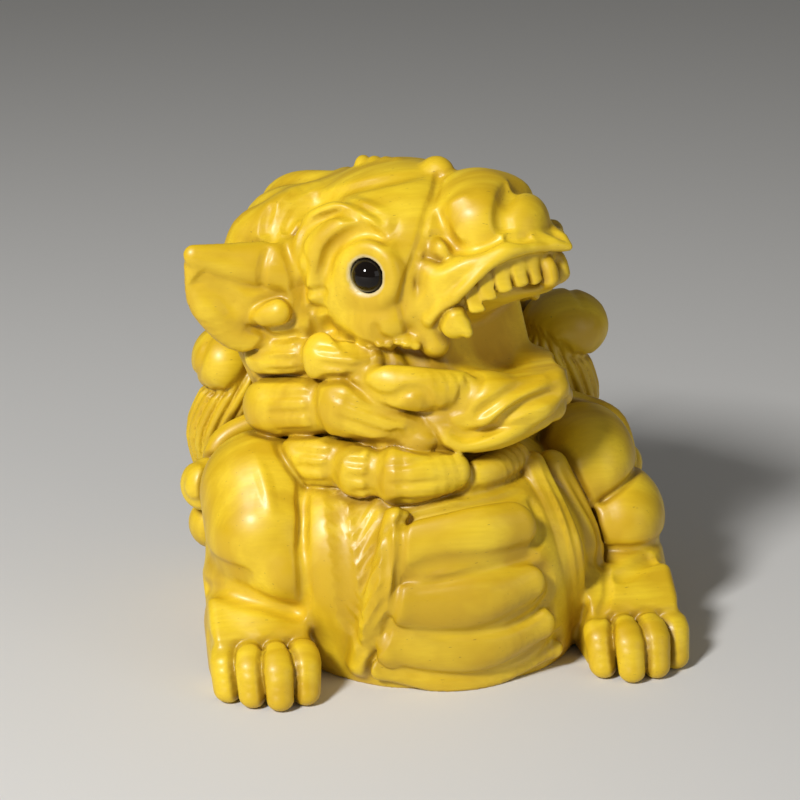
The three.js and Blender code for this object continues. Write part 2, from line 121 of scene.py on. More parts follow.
# Lines of the body in the same way
PLATE_LINES = [
    [(402, 531), (416, 519), (447, 511), (497, 500), (524, 492)],
    [(528, 497), (538, 514), (541, 534), (535, 551)],
    [(411, 589), (447, 581), (489, 569), (528, 558), (538, 551)],
    [(540, 563), (551, 584), (540, 607), (505, 628)],
    [(416, 631), (447, 635), (478, 634), (505, 629), (535, 613), (549, 592)],
    [(387, 662), (416, 673), (455, 678), (497, 675), (531, 662), (555, 638), (563, 626)],
]
CHEST_LINES = [
    [(401, 500), (402, 527), (397, 592), (385, 638), (364, 676)],
    [(388, 520), (386, 570), (376, 625), (352, 668)],
    [(531, 460), (551, 496), (570, 554), (577, 615), (572, 645)],
    [(541, 460), (560, 497), (578, 554), (584, 610), (578, 642)],
    [(560, 462), (583, 500), (600, 545), (608, 592), (594, 628)],
]
ARM_CREASE = [(204, 588), (222, 591), (250, 600), (280, 608), (306, 614)]
ARM_EDGE = [(300, 478), (301, 520), (303, 565), (306, 612)]
ARM_RIDGE = [(252, 448), (266, 486), (274, 520)]
FAR_ARM_CREASE = [(612, 580), (630, 572), (655, 558)]
FAR_ARM_RIDGE = [(575, 452), (592, 490), (606, 530), (612, 575)]

# The fur's strokes run down from their tips, over a bend, to a middle line.
FUR_TOP = (347, 505)
FUR_END = (366, 655)
FUR_ROWS = 11
FUR_TIPS = (-28, 24)  # how far the tips are to the left and to the right
FUR_TIP_RISE = 44
FUR_BEND_RISE = 20


def offsets(x, y, z, place):
    """How far a block's places are from a place, along each axis."""
    return [x - place[0], y - place[1], z - place[2]]


def dot(offset, way):
    return sum(o * w for o, w in zip(offset, way))


def between(x, y, z, low, high):
    """The part of a block's axes that lies between two corners."""
    return tuple(
        slice(np.searchsorted(axis, low[k]), np.searchsorted(axis, high[k]))
        for k, axis in enumerate((x.ravel(), y.ravel(), z.ravel()))
    )


def unit_vector(v):
    v = np.asarray(v, float)
    return v / np.linalg.norm(v)


def along_curve(points, count):
    """Points at even steps of the parameter along a centripetal Catmull-Rom curve."""
    points = np.asarray(points, float)
    padded = np.vstack([2 * points[0] - points[1], points, 2 * points[-1] - points[-2]])
    spans = len(points) - 1
    at = np.linspace(0, spans, count)
    first = np.minimum(at.astype(int), spans - 1)
    t = (at - first)[:, None]
    p = [padded[first + i] for i in range(4)]
    gaps = [np.sqrt(np.linalg.norm(p[i + 1] - p[i], axis=1))[:, None] for i in range(3)]
    whole = [(p[i + 1] - p[i]) / gaps[i] for i in range(3)]
    start = (whole[0] - (p[2] - p[0]) / (gaps[0] + gaps[1]) + whole[1]) * gaps[1]
    end = (whole[1] - (p[3] - p[1]) / (gaps[1] + gaps[2]) + whole[2]) * gaps[1]
    bent = 2 * (p[1] - p[2]) + start + end
    rise = 3 * (p[2] - p[1]) - 2 * start - end
    return ((bent * t + rise) * t + start) * t + p[1]


class Place:
    """A frame that forms are drawn in: an origin, axes as columns, and a scale."""

    def __init__(self, origin=(0, 0, 0), axes=None, scale=1.0):
        self.origin = np.array(origin, float)
        self.axes = np.eye(3) if axes is None else axes
        self.scale = scale

    def points(self, points):
        return self.origin + (np.atleast_2d(points) * self.scale) @ self.axes.T

    def local(self, points):
        return ((np.atleast_2d(points) - self.origin) @ self.axes) / self.scale

    def direction(self, v):
        return self.axes @ unit_vector(v)

    def sides(self, axis):
        """The figure's right side and its left, each with this axis pointing outward."""
        for way in (-1, 1):
            outward = np.ones(3)
            outward[axis] = way
            yield Place(self.origin, self.axes * outward, self.scale)


class Egg:
    """An ellipsoid."""

    def __init__(self, place, centre, halves):
        self.centre = place.points(centre)[0]
        self.halves = np.array(halves, float) * place.scale
        self.axes = place.axes
        reach = np.sqrt(((self.axes * self.halves) ** 2).sum(axis=1))
        self.low, self.high = self.centre - reach, self.centre + reach

    def distance(self, x, y, z):
        offset = offsets(x, y, z, self.centre)
        near = steep = 0
        for axis, half in zip(self.axes.T, self.halves):
            share = dot(offset, axis) / half
            near = near + share**2
            steep = steep + (share / half) ** 2
        near = np.sqrt(near)
        return near * (near - 1) / (np.sqrt(steep) + 1e-6)


class Roll:
    """A round-ended roll along a curve. Its radii are shared out along it.

    squeeze is a direction and the share of the radius left in it. comb is a number of
    grooves round the roll and their depth.
    """

    def __init__(self, place, points, radii, squeeze=None, comb=None):
        points = place.points(points)
        length = np.linalg.norm(np.diff(points, axis=0), axis=1).sum()
        count = 2 if len(points) == 2 else max(len(points), int(length / 0.8)) + 1
        self.line = along_curve(points, count)
        stations = np.linspace(0, 1, len(radii))
        self.radii = np.interp(np.linspace(0, 1, count), stations, radii) * place.scale
        self.across = None if squeeze is None else place.direction(squeeze[0])
        self.share = 1 if squeeze is None else squeeze[1]
        self.comb = comb
        self.asides = [(0.3, -0.2, 1)]  # the way that the grooves are counted from, carried along
        for way in np.diff(self.line, axis=0):
            last = self.asides[-1]
            self.asides.append(unit_vector(last - way * (way @ last) / (way @ way)))
        widest = self.radii.max()
        self.low, self.high = self.line.min(axis=0) - widest, self.line.max(axis=0) + widest

    def distance(self, x, y, z):
        result = np.full(np.broadcast_shapes(x.shape, y.shape, z.shape), 2 * REACH, np.float32)
        for i in range(len(self.line) - 1):
            a, b = self.line[i], self.line[i + 1]
            reach = self.radii[i : i + 2].max() + REACH
            low, high = np.minimum(a, b) - reach, np.maximum(a, b) + reach
            part = between(x, y, z, low, high)
            near = self.beside(i, x[part[0]], y[:, part[1]], z[:, :, part[2]])
            result[part] = np.minimum(result[part], near)
        return result

    def beside(self, i, x, y, z):
        """Distances from one straight stretch of the roll."""
        a, way = self.line[i], self.line[i + 1] - self.line[i]
        offset = offsets(x, y, z, a)
        along = np.clip(dot(offset, way) / (way @ way), 0, 1)
        offset = [o - along * w for o, w in zip(offset, way)]
        radius = self.radii[i] + along * (self.radii[i + 1] - self.radii[i])
        length = np.sqrt(sum(o * o for o in offset)) + 1e-6
        distance = length - radius
        if self.across is not None:
            stretch = 1 / self.share
            aside = dot(offset, self.across)
            length = np.sqrt(length**2 + (stretch**2 - 1) * aside**2)
            slope = np.sqrt(1 + (stretch**2 - 1) * (aside * stretch / length) ** 2)
            distance = (length - radius) / slope
        if self.comb is not None:
            grooves, depth = self.comb
            aside = self.asides[i + 1]
            rise = dot(offset, unit_vector(np.cross(way, aside)))
            turn = np.arctan2(rise, dot(offset, aside))
            distance = distance + depth * (0.5 + 0.5 * np.cos(grooves * turn)) ** 3
        return distance.astype(np.float32)


class Block:
    """A box with rounded edges. along is the way of its first half length, level with the place."""

    def __init__(self, place, centre, halves, along, rounding):
        self.centre = place.points(centre)[0]
        self.halves = np.array(halves, float) * place.scale - rounding
        self.rounding = rounding
        first = place.direction(along)
        third = place.direction((0, 0, 1))
        self.axes = np.column_stack([first, np.cross(third, first), third])
        reach = (np.abs(self.axes) * (self.halves + rounding)).sum(axis=1)
        self.low, self.high = self.centre - reach, self.centre + reach

    def distance(self, x, y, z):
        offset = offsets(x, y, z, self.centre)
        beyond = [np.abs(dot(offset, axis)) - half for axis, half in zip(self.axes.T, self.halves)]
        outside = np.sqrt(sum(np.maximum(b, 0) ** 2 for b in beyond))
        inside = np.minimum(np.maximum(np.maximum(beyond[0], beyond[1]), beyond[2]), 0)
        return outside + inside - self.rounding


class Across:
    """A block right across a place, from its outline in the first and third axes."""

    def __init__(self, place, outline):
        self.place = place
        self.outline = np.array(outline, float)
        corners = place.points([(f, out, u) for f, u in outline for out in (-HALF_HEAD, HALF_HEAD)])
        self.low, self.high = corners.min(axis=0), corners.max(axis=0)

    def distance(self, x, y, z):
        place = self.place
        offset = offsets(x, y, z, place.origin)
        forward, up = (dot(offset, place.axes[:, k]) / place.scale for k in (0, 2))
        square = np.full(forward.shape, 1e6, np.float32)
        inside = np.zeros(forward.shape, bool)
        for (af, au), (bf, bu) in zip(self.outline, np.roll(self.outline, -1, axis=0)):
            wf, wu = bf - af, bu - au
            t = np.clip(((forward - af) * wf + (up - au) * wu) / (wf * wf + wu * wu), 0, 1)
            gap = (forward - af - t * wf) ** 2 + (up - au - t * wu) ** 2
            square = np.minimum(square, gap)
            if au != bu:
                inside ^= ((au > up) != (bu > up)) & (forward < af + (up - au) / wu * wf)
        return np.sqrt(square) * np.where(inside, -1, 1) * place.scale


class Clay:
    """A block of signed distances. What is below nought is wood."""

    def __init__(self, low, high):
        self.low = np.array(low, float)
        self.shape = np.ceil((np.array(high) - self.low) / STEP).astype(int) + 1
        self.field = np.full(self.shape, REACH, np.float32)

    def near(self, low, high):
        """The part of the block between two corners, and the places along its axes."""
        first = np.clip(np.floor((low - self.low) / STEP).astype(int), 0, self.shape - 1)
        last = np.clip(np.ceil((high - self.low) / STEP).astype(int) + 1, 1, self.shape)
        part = tuple(slice(a, b) for a, b in zip(first, last))
        axes = [self.low[k] + STEP * np.arange(first[k], last[k]) for k in range(3)]
        axes = [axis.astype(np.float32) for axis in axes]
        return part, np.meshgrid(*axes, indexing="ij", sparse=True)

    def add(self, form, blend, seam=0.0):
        """Joins a form on. seam is the depth of the line carved where it meets the rest."""
        part, (x, y, z) = self.near(form.low - REACH, form.high + REACH)
        self.blend_in(part, form.distance(x, y, z), blend, seam)

    def join(self, other, blend, seam):
        """Joins on another block's wood."""
        self.blend_in(..., other.field, blend, seam)

    def blend_in(self, part, new, blend, seam):
        old = self.field[part]
        share = np.clip(0.5 + 0.5 * (old - new) / blend, 0, 1)
        joined = old + (new - old) * share - blend * share * (1 - share)
        if seam:
            joined = joined + seam * np.exp(-(new**2 + old**2) / SEAM_WIDTH**2)
        self.field[part] = joined

    def cut(self, form, blend):
        part, (x, y, z) = self.near(form.low - REACH, form.high + REACH)
        new, old = -form.distance(x, y, z), self.field[part]
        share = np.clip(0.5 + 0.5 * (new - old) / blend, 0, 1)
        self.field[part] = old + (new - old) * share + blend * share * (1 - share)

    def sample(self, points):
        """The distances at points, and their slopes."""
        at = (np.atleast_2d(points) - self.low) / STEP
        at = np.clip(at, 0, self.shape - 1.001)
        cell = at.astype(int)
        t = at - cell
        corners = [
            self.field[cell[:, 0] + i, cell[:, 1] + j, cell[:, 2] + k]
            for i in (0, 1) for j in (0, 1) for k in (0, 1)
        ]
        c = np.array(corners).reshape(2, 2, 2, -1)
        u = [np.array([1 - t[:, k], t[:, k]]) for k in range(3)]
        value = np.einsum("ijkn,in,jn,kn->n", c, u[0], u[1], u[2])
        slope = np.stack(
            [
                np.einsum("jkn,jn,kn->n", c[1] - c[0], u[1], u[2]),
                np.einsum("ikn,in,kn->n", c[:, 1] - c[:, 0], u[0], u[2]),
                np.einsum("ijn,in,jn->n", c[:, :, 1] - c[:, :, 0], u[0], u[1]),
            ],
            axis=1,
        )
        return value, slope / STEP

    def settle(self, points, turns=6, most=1.0):
        """The points moved onto the surface."""
        points = np.array(np.atleast_2d(points), float)
        for _ in range(turns):
            value, slope = self.sample(points)
            size = (slope**2).sum(axis=1) + 0.05
            move = -value[:, None] * slope / size[:, None]
            longest = np.linalg.norm(move, axis=1)[:, None] + 1e-9
            points += move * np.minimum(1, most / longest)
        return points

    def met(self, starts, way, far):
        """Where straight lines from the starts first meet the surface, or pass closest to it."""
        starts, way = np.atleast_2d(starts), np.atleast_2d(way)
        t = np.arange(0, far, 0.4 * STEP)
        found = []
        for start, heading in zip(starts, np.broadcast_to(way, starts.shape)):
            line = start + t[:, None] * heading
            value, _ = self.sample(line)
            inside = np.flatnonzero(value < 0)
            first = inside[0] if len(inside) else int(value.argmin())
            found.append(line[first])
        return self.settle(found, turns=3)

    def score(self, points, width, depth, ends=(0.2, 0.2)):
        """Draws a soft groove through points on the surface, or a ridge if depth is below nought.

        ends are the shares of its length over which it fades in and out.
        """
        count = max(8, int(np.linalg.norm(np.diff(points, axis=0), axis=1).sum() / 0.5))
        line = self.settle(along_curve(self.settle(points), count))
        reach = 3 * width
        part, (x, y, z) = self.near(line.min(axis=0) - reach, line.max(axis=0) + reach)
        shape = self.field[part].shape
        gap = np.full(shape, reach, np.float32)
        strength = np.zeros(shape, np.float32)
        shares = np.linspace(0, 1, count)
        fade = np.ones(count)
        if ends[0]:
            fade = np.minimum(fade, shares / ends[0])
        if ends[1]:
            fade = np.minimum(fade, (1 - shares) / ends[1])
        for i in range(count - 1):
            a, way = line[i], line[i + 1] - line[i]
            low, high = np.minimum(a, line[i + 1]) - reach, np.maximum(a, line[i + 1]) + reach
            box = between(x, y, z, low, high)
            offset = offsets(x[box[0]], y[:, box[1]], z[:, :, box[2]], a)
            along = np.clip(dot(offset, way) / (way @ way + 1e-9), 0, 1)
            away = np.sqrt(sum((o - along * w) ** 2 for o, w in zip(offset, way)))
            closer = away < gap[box]
            gap[box] = np.where(closer, away, gap[box])
            level = fade[i] + along * (fade[i + 1] - fade[i])
            strength[box] = np.where(closer, level, strength[box])
        self.field[part] += depth * strength * np.exp(-((gap / width) ** 2))


# How the head sits on the body as drawn, its size against its drawing, and an eye's place on it
HEAD_MIDDLE = (-3.2, -3.4, 37.8)
HEAD_TURN = math.radians(52 - 90)  # to the figure's left, from the first axis
HEAD_LIFT = math.radians(15)
HEAD_SHARE = 0.98
EYE_PLACE = (2.9, 10.6, 3.9)
SOCKET_RADIUS = 1.92
RIM_RADIUS = 2.45  # of the pale wood round a bead
RIM_FADE = 0.3


def head_place(origin):
    """The head's frame: forward, to the figure's left, and up along the head."""
    turn, lift = HEAD_TURN, HEAD_LIFT
    forward = [math.cos(turn) * math.cos(lift), math.sin(turn) * math.cos(lift), math.sin(lift)]
    aside = [-math.sin(turn), math.cos(turn), 0]
    return Place(origin, np.column_stack([forward, aside, np.cross(forward, aside)]), HEAD_SHARE)


def eye_shift():
    """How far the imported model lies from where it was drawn, as its own right eye shows."""
    low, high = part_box("right_eye")
    right, _ = head_place(HEAD_MIDDLE).sides(1)
    return np.array((low + high) / 2) / MM - right.points(EYE_PLACE)[0]


SHIFT = eye_shift()
BODY = Place(SHIFT)
HEAD = head_place(np.array(HEAD_MIDDLE) + SHIFT)

# Forms on a side are drawn by how far out they are: the body's first number, the head's second.
BODY_SIDES = list(BODY.sides(0))
HEAD_SIDES = list(HEAD.sides(1))


def camera_axes():
    """The way that the camera looks, across its picture, and up it."""
    aside, ahead = math.sin(CAMERA_ROUND), math.cos(CAMERA_ROUND)
    level = math.cos(CAMERA_ABOVE)
    look = np.array([aside * level, ahead * level, -math.sin(CAMERA_ABOVE)])
    across = np.array([ahead, -aside, 0])
    return look, across, np.cross(across, look)


def seen(clay, pixels):
    """The places on the clay that show at these pixels of the picture."""
    look, across, up = camera_axes()
    eye = CAMERA_AIM - look * CAMERA_AWAY
    half = PICTURE_PIXELS / 2
    scale = PICTURE_WIDE / PICTURE_PIXELS
    px, py = np.array(pixels, float).T
    ways = (
        look * CAMERA_AWAY
        + across * ((px - half) * scale)[:, None]
        - up * ((py - half) * scale)[:, None]
    )
    ways /= np.linalg.norm(ways, axis=1)[:, None]
    near = CAMERA_AWAY - SEARCH_BEFORE
    return clay.met(eye + ways * near, ways, SEARCH_LENGTH)


# Lines drawn from the picture

WORLD = Place()


def both_sides(points):
    """Places on the near side of the head, and their like on the far side."""
    return [points, HEAD.points(HEAD.local(points) * (1, -1, 1))]


def trace(clay, pixels, *stroke):
    """Scores a line of the picture on the near side of the head and on the far side."""
    for line in both_sides(seen(clay, pixels)):
        clay.score(line, *stroke)


def swirl(clay, place, centre, facing, radius, turns, depth=0.35):
    """Scores a spiral on a rounded form, round the way that it faces."""
    centre = place.points(centre)[0]
    way = place.direction(facing)
    aside = unit_vector(np.cross(way, (0.1, 0, 1)))
    up = np.cross(aside, way)
    shares = np.linspace(0, 1, 18)
    opening = np.radians(80 - 66 * shares)[:, None]
    turned = (shares * turns * 2 * math.pi)[:, None]
    round_it = (aside * np.cos(turned) + up * np.sin(turned)) * np.sin(opening)
    clay.score(centre + radius * (way * np.cos(opening) + round_it), 0.45, depth)


# Forms of the body

BELLY_MIDDLE = (-0.4, -5.0)
PAW_SLOPE = math.radians(36)  # of a paw's top, down to its front

# How far out the belly reaches, and at which height
BELLY = [(14.6, -2), (16.4, 2.5), (17.2, 8), (17.1, 13), (15.2, 18), (11, 22.4), (5, 25)]


def on_belly(x, z, depth):
    """The place on the front of the belly at x and z, sunk by a depth."""
    out = np.interp(z, [b[1] for b in BELLY], [b[0] for b in BELLY]) - depth
    aside = x - BELLY_MIDDLE[0]
    return (x, BELLY_MIDDLE[1] - math.sqrt(out * out - aside * aside), z)


def torso(clay):
    for centre, halves in [
        ((-0.4, -5, 9.6), (17.3, 17.3, 14.6)),
        ((-0.4, -5, 3.0), (16.2, 16.2, 9)),
        ((-1, 9, 15), (17, 15.5, 15)),
    ]:
        clay.add(Egg(BODY, centre, halves), 3)
    clay.add(Roll(BODY, [(-1, 4, 17), (-5, 5, 27), (-8, 2.5, 35)], [14.2, 10.2, 8.5]), 2.5)


def belly_plates(clay):
    """The plates of the belly, from the lowest up.

    Each has two ends and a middle in x and z, half a height, and how much it is sunk.
    """
    plates = [
        ((-8.0, 2.6), (0.5, 0.9), (9.8, 2.6), 1.7, 0),
        ((-6.8, 4.8), (1.5, 4.4), (7.8, 6.1), 2.5, 0),
        ((-5.6, 9.8), (1.5, 9.9), (6.3, 11.0), 2.7, 0),
        ((-5.4, 14.9), (1.5, 16.2), (4.8, 16.5), 3.4, 0),
        ((1.2, 20.6), (3.5, 21.1), (6.6, 21.7), 2.3, 1.1),
    ]
    for *ends, half, sunk in plates:
        line = [on_belly(x, z, 0.45 * half - 0.7 + sunk) for x, z in ends]
        clay.add(Roll(BODY, line, [half, half, half * 0.9], ((0, 1, 0), 0.45)), 0.3, 0.35)


def belly_folds(clay):
    """The mass of the chest on the figure's right, and the long folds that frame the plates."""
    folds = [
        ((-6.4, 18.2), (-8.0, 12), (-10.0, 2.6), 1.8, 0.2),
        ((8.8, 20.8), (11.6, 13), (12.6, 4.6), 1.9, 0.6),
        ((11.6, 19.4), (14.6, 11), (14.4, 2.4), 2.4, 0.8),
    ]
    clay.add(Egg(BODY, (-11, -7.6, 10.4), (8.6, 10.4, 11.4)), 1.5)
    for *ends, radius, depth in folds:
        line = [on_belly(x, z, depth + 0.3) for x, z in ends]
        clay.add(Roll(BODY, line, [radius * 0.8, radius, radius * 0.9]), 0.7, 0.15)


def toes(clay, body, tips):
    """A paw whose top slopes down to a ledge, with four toes side by side under it."""
    middle, front = np.mean(tips, axis=0)
    level, rise = math.cos(PAW_SLOPE), math.sin(PAW_SLOPE)
    tilted = np.array([(1, 0, 0), (0, level, rise), (0, -rise, level)]).T
    top = Place(body.points((middle, front + 6.6, 7.6))[0], tilted)
    clay.add(Block(top, (0, 0, -3.2), (5.1, 3.3, 3.2), (1, 0, 0), 1.0), 1.2)
    clay.add(Block(body, (middle, front + 7.0, 2.4), (5.0, 3.2, 2.8), (1, 0, 0), 1.2), 0.8)
    flat = ((0, -rise, level), 0.8)
    for out, y in tips:
        toe = [(out, y + 6.0, 4.9), (out, y + 3.0, 4.1), (out, y + 1.5, 1.4)]
        clay.add(Roll(body, toe, [1.3, 1.85, 1.55], flat), 0.25, 0.25)


def forelegs(clay):
    """The right foreleg stands straighter and further forward than the left one."""
    right, left = BODY_SIDES
    clay.add(Egg(right, (19.8, -8, 11.5), (5.2, 7, 4.4)), 1.0)
    shank = [(20.3, -8.5, 9.6), (20.0, -12.0, 5.0), (19.9, -14.5, 3.4)]
    clay.add(Roll(right, shank, [5.0, 5.1, 3.8]), 0.5, 0.2)
    sleeve = [(18.6, -6.6, 17.6), (18.7, -9.6, 14.4)]
    clay.add(Roll(right, sleeve, [6.6, 6.3]), 0.4, 0.4)
    clay.add(Egg(right, (17.2, -12.6, 11.7), (4.0, 4.4, 4.2)), 1.2)
    toes(clay, right, [(23.9, -20.7), (21.6, -22.4), (19.0, -23.6), (16.3, -22.7)])

    clay.add(Egg(left, (16.8, -3.5, 18), (5.4, 6.6, 6.2)), 1.0, 0.2)
    shank = [(20, -6.5, 9), (20, -10.5, 4.6), (20, -14.0, 2.6)]
    clay.add(Roll(left, shank, [4.7, 4.8, 4.0]), 0.5, 0.2)
    clay.add(Egg(left, (20.0, -5.2, 12.2), (5.2, 6.6, 5.6)), 0.5, 0.3)
    toes(clay, left, [(15.0, -21.6), (17.6, -23.2), (20.3, -22.6), (22.9, -20.7)])

    for body, out in ((right, 0), (left, -1)):
        edge = [(16.6 + out, 1.5, 23.5), (22.2 + out, 1.2, 20.6), (24.2 + out, 0, 15)]
        clay.add(Roll(body, edge, [1.1, 1.3, 0.9]), 0.4, 0.2)
    elbows = [
        (right, (24.0, -1.2, 16.9), (23.3, 0.6, 11.8)),
        (left, (22.2, 2.6, 15), (21.8, 3.4, 10)),
    ]
    for body, upper, lower in elbows:
        clay.add(Egg(body, lower, (2.6, 2.6, 2.8)), 0.2, 0.3)
        clay.add(Egg(body, upper, (2.8, 2.7, 2.9)), 0.2, 0.3)
        swirl(clay, body, upper, (0.8, -0.7, 0.2), 2.8, 1.2)


def hind_legs(clay):
    """A folded haunch, a foot and three toes on each side."""
    haunch = (14.2, 11.5, 9.5)
    for body in BODY_SIDES:
        clay.add(Egg(body, haunch, (8.2, 10.8, 9.8)), 1.2, 0.2)
        clay.add(Egg(body, (17.5, 4.5, 3), (4.4, 7.5, 3.4)), 0.6, 0.2)
        for out in (15.6, 18, 20.4):
            clay.add(Roll(body, [(out, 2, 2.2), (out + 0.4, -3.4, 1.6)], [1.5, 1.4]), 0.2, 0.3)
        swirl(clay, body, haunch, (0.9, 0.35, 0.25), 9.4, 1.1, 0.5)


def collar(clay):
    """Rolled curls round the nape, each over a lock of combed hair."""
    curls = [
        ((-21.0, 6.5, 28.3), (3.6, 4.4, 3.8)),
        ((-15.4, 12.6, 29.6), (4.2, 3.8, 3.8)),
        ((-7.6, 16.2, 30.6), (4.4, 3.6, 3.8)),
        ((1.6, 16.6, 31), (4.6, 3.6, 3.8)),
        ((10.6, 13.2, 30.8), (4.4, 3.8, 3.8)),
        ((16.9, 7.0, 30.2), (4.9, 4.6, 4.0)),
    ]
    for (x, y, z), _ in curls:
        flare = (y - 4) * 0.2
        middle = (x * 1.03, y + flare * 1.1, z - 8)
        end = (x * 1.05, y + flare * 1.5, z - 14)
        hair = [(x * 0.9, y - flare * 0.8, z - 2), middle, end]
        clay.add(Roll(BODY, hair, [3.6, 3.8, 2.0], comb=(18, 0.35)), 0.3, 0.3)
    for centre, halves in curls:
        clay.add(Egg(BODY, centre, halves), 0.2, 0.35)
    for (x, y, z), halves in curls:
        swirl(clay, BODY, (x, y, z), (x, y - 3, 4), min(halves), 1.1)


def spine_and_tail(clay):
    """Knobs down the spine, and a tail of three combed locks laid up the rump."""
    for i in range(3):
        clay.add(Egg(BODY, (-1.2, 20.2 + i * 1.3, 25.6 - i * 3.8), (2.5, 2.2, 2.2)), 0.2, 0.35)
    for k in (-1, 1, 0):
        lower = abs(k)
        root = (k * 2 - 1, 20.4, 4)
        bend = (k * 4.6 - 1, 22.9 - lower * 1.0, 10)
        tip = (k * 7 - 1, 20.8 - lower * 2.4, 19 - lower * 3)
        clay.add(Roll(BODY, [root, bend, tip], [2.6, 3.0, 1.0], comb=(16, 0.35)), 0.2, 0.4)


def body_lines(clay):
    """Creases of the chest and arms, and the herringbone of fur beside the plates."""
    lines = [
        *[(line, 0.45, 0.8) for line in PLATE_LINES],
        *[(line, 0.4, 0.7) for line in CHEST_LINES],
        (ARM_EDGE, 0.5, 1.1, (0.2, 0.1)),
        (ARM_CREASE, 0.7, 1.5, (0.05, 0.1)),
        (FAR_ARM_CREASE, 0.7, 1.2, (0.3, 0.1)),
        *[(line, 0.6, -0.5, (0.4, 0.4)) for line in (ARM_RIDGE, FAR_ARM_RIDGE)],
    ]
    for line, *stroke in lines:
        clay.score(seen(clay, line), *stroke)
    for x, y in np.linspace(FUR_TOP, FUR_END, FUR_ROWS):
        for across in FUR_TIPS:
            tip, bend = (x + across, y - FUR_TIP_RISE), (x + across * 0.4, y - FUR_BEND_RISE)
            stroke = [tip, bend, (x, y)]
            clay.score(seen(clay, stroke), 0.38, 0.75, (0.4, 0.35))


# Forms of the head

def face(clay):
    """The skull, the eye mounds, the cheeks and the sides, cut back in front to carry the snout."""
    clay.add(Egg(HEAD, (0.2, 0, 3.4), (12.2, 11.6, 10.8)), 0.3)
    for head in HEAD_SIDES:
        for centre, halves in [
            ((2.9, 7.9, 3.9), (4.4, 3.8, 4.3)),
            ((1.4, 8.9, -1.2), (4.4, 2.6, 2.8)),
            ((-9, 8.2, 0), (4.5, 3.6, 6.5)),
        ]:
            clay.add(Egg(head, centre, halves), 0.8)
    edge = [(9.9, 16), (9.9, 6.6), (7.9, 3.7), (5.2, -2.4), (6.0, -5), (20, -5), (20, 16)]
    clay.cut(Across(HEAD, edge), 0.25)


def muzzle(clay):
    """The snout, the nose with its wings and tip, and two small curls behind each wing."""
    clay.add(Egg(HEAD, (8.4, 0, 1.6), (10.4, 7.9, 4.8)), 0.2)
    clay.add(Egg(HEAD, (9.4, 0, 4.2), (8.6, 6.9, 4.9)), 0.8)
    clay.add(Egg(HEAD, (10.4, 0, 6.9), (5.6, 5.4, 4.7)), 0.5, 0.1)
    for head in HEAD_SIDES:
        clay.add(Egg(head, (11.8, 3.0, 6.4), (4.3, 3.5, 3.8)), 1.2)
        clay.add(Egg(head, (7.8, 6.7, 3.4), (2.2, 1.7, 2.8)), 0.6)
        clay.add(Egg(head, (9.3, 6.8, 4.6), (1.9, 1.4, 1.7)), 0.3, 0.3)
        clay.add(Egg(head, (7.7, 8.0, 2.8), (2.1, 1.2, 1.6)), 0.5, 0.2)
    clay.add(Egg(HEAD, (15.9, 0, 5.2), (2.5, 3.4, 3.0)), 0.6)


def jaw(clay):
    """The lower jaw up to the throat."""
    clay.add(Egg(HEAD, (4.6, 0, -11.2), (11.0, 8.8, 5.2)), 0.6)
    clay.add(Egg(HEAD, (-2, 0, -8), (10, 9.5, 8)), 1.5)


def back_hair(clay):
    """A brim round the back of the face, and five combed falls of hair down the nape."""
    for k in (-2, 2, -1, 1, 0):
        fall = abs(k)
        crest = [(-4, 2.4 * k, 12.2 - fall), (-11.4, 3.7 * k, 11.2 - fall)]
        nape = [(-13.6, 4.1 * k, 1), (-11.6, 4.4 * k, -11)]
        clay.add(Roll(HEAD, crest + nape, [1.6, 3.0, 3.0, 2.2]), 1.0, 0.1)
    for k in (-2.3, -1.75, -1.25, -0.75, -0.25, 0.25, 0.75, 1.25, 1.75, 2.3):
        upper = [(-14.5, 4.4 * k, 10 - abs(k)), (-17, 5.0 * k, 4)]
        lower = [(-17, 5.2 * k, -2), (-15, 5.4 * k, -9)]
        clay.score(HEAD.points(upper + lower), 0.4, 0.5)
    brim = [(-8.6, 8.8, 4.6), (-8.8, 8.0, 8.2), (-7.2, 5.8, 10.6), (-4.4, 2.0, 11.2)]
    for head in HEAD_SIDES:
        clay.add(Roll(head, brim, [2.4, 3.0, 2.9, 2.0]), 1.2)


def mouth(clay):
    """The gape, with the palate hanging in it, and the wall that closes its depth."""
    roof = [(5.2, -6.6), (7.8, -4.4), (12, -1.4), (15, -0.6), (26, -0.8)]
    bottom = [(26, -11.4), (16, -10.6), (10, -9.6), (6.4, -8.2)]
    clay.cut(Across(HEAD, roof + bottom), 0.4)
    clay.cut(Egg(HEAD, (9.5, 0, -6), (6.6, 6.2, 4)), 0.8)
    palate = [(6, 0, -2.3), (12, 0, -1.2), (16.2, 0, -1.4)]
    clay.add(Roll(HEAD, palate, [4.4, 4.2, 2.6], ((0, 0, 1), 0.4)), 0.8)
    wall, along = (6.0, -0.2, -6.8), (4.6, -14.5, 0)
    clay.add(Block(HEAD_SIDES[0], wall, (6.9, 3.0, 5.6), along, 1.2), 1.4)


